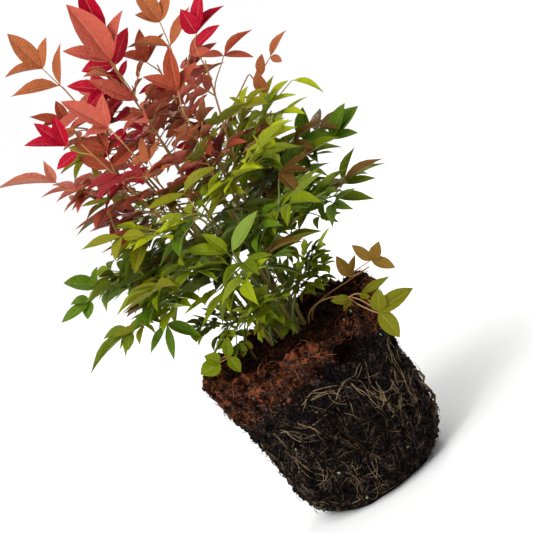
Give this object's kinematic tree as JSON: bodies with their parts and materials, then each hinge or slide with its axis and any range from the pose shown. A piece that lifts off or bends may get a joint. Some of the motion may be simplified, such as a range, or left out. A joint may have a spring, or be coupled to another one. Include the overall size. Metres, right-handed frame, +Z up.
{
  "type": "shrub on root ball",
  "caption": "Small heavenly bamboo shrub with red upper and green lower foliage, standing upright on its bare tapered root ball, out of its pot.",
  "frame": {"origin": "centre of the root ball's flat underside", "axes": "+Z up along the canes, -Y towards the front, +X to the right seen from the front"},
  "size_m": [0.2998, 0.2962, 0.469],
  "materials": {
    "root_ball": "rough moist peat and coir",
    "cane": "matte bark with rings",
    "leaf_stalk": "satin",
    "leaf_red": "satin leaf",
    "leaf_bronze": "satin leaf",
    "leaf_lime": "satin leaf",
    "leaf_green": "satin leaf",
    "leaf_small_green": "satin leaf",
    "leaf_olive": "satin leaf"
  },
  "bodies": {
    "root": {"root_ball": "root_ball", "cane_crown_peak_left": "cane", "cane_crown_peak": "cane", "cane_crown_peak_right": "cane", "cane_crown_left": "cane", "cane_crown_right": "cane", "cane_crown_back_left": "cane", "cane_crown_back_right": "cane", "cane_crown_front_left": "cane", "cane_crown_front_right": "cane", "stalk_skirt_right_high": "leaf_stalk", "stalk_skirt_right_low": "leaf_stalk", "stalk_skirt_front_right": "leaf_stalk", "stalk_skirt_front": "leaf_stalk", "stalk_skirt_front_left": "leaf_stalk", "stalk_skirt_left_high": "leaf_stalk", "stalk_skirt_left_low": "leaf_stalk", "stalk_skirt_back_left": "leaf_stalk", "stalk_skirt_back": "leaf_stalk", "stalk_skirt_back_right": "leaf_stalk", "stalk_sprig_right_low": "leaf_stalk", "stalk_sprig_right_high": "leaf_stalk", "stalk_sprig_left": "leaf_stalk", "foliage_crown_peak_left": "leaf_red", "foliage_crown_peak": "leaf_red", "foliage_crown_peak_right": "leaf_red", "foliage_crown_left": "leaf_red", "foliage_crown_right": "leaf_red", "foliage_crown_back_left": "leaf_red", "foliage_crown_back_right": "leaf_red", "foliage_crown_front_left": "leaf_red", "foliage_crown_front_right": "leaf_red", "foliage_crown_far_left": "leaf_red", "foliage_crown_far_right": "leaf_red", "foliage_crown_far_back": "leaf_red", "foliage_lime_right": "leaf_lime", "foliage_lime_front_right": "leaf_lime", "foliage_lime_front": "leaf_lime", "foliage_lime_front_left": "leaf_lime", "foliage_bronze_left": "leaf_bronze", "foliage_bronze_back_left": "leaf_bronze", "foliage_bronze_back_right": "leaf_bronze", "foliage_skirt_right_high": "leaf_green", "foliage_skirt_right_low": "leaf_green", "foliage_skirt_front_right": "leaf_green", "foliage_skirt_front": "leaf_green", "foliage_skirt_front_left": "leaf_green", "foliage_skirt_left_high": "leaf_green", "foliage_skirt_left_low": "leaf_green", "foliage_skirt_back_left": "leaf_green", "foliage_skirt_back": "leaf_green", "foliage_skirt_back_right": "leaf_green", "foliage_thicket_left": "leaf_small_green", "foliage_thicket_front": "leaf_small_green", "foliage_thicket_right": "leaf_small_green", "foliage_thicket_back": "leaf_small_green", "foliage_sprig_right_low": "leaf_olive", "foliage_sprig_right_high": "leaf_olive", "foliage_sprig_left": "leaf_olive"}
  },
  "joints": []
}
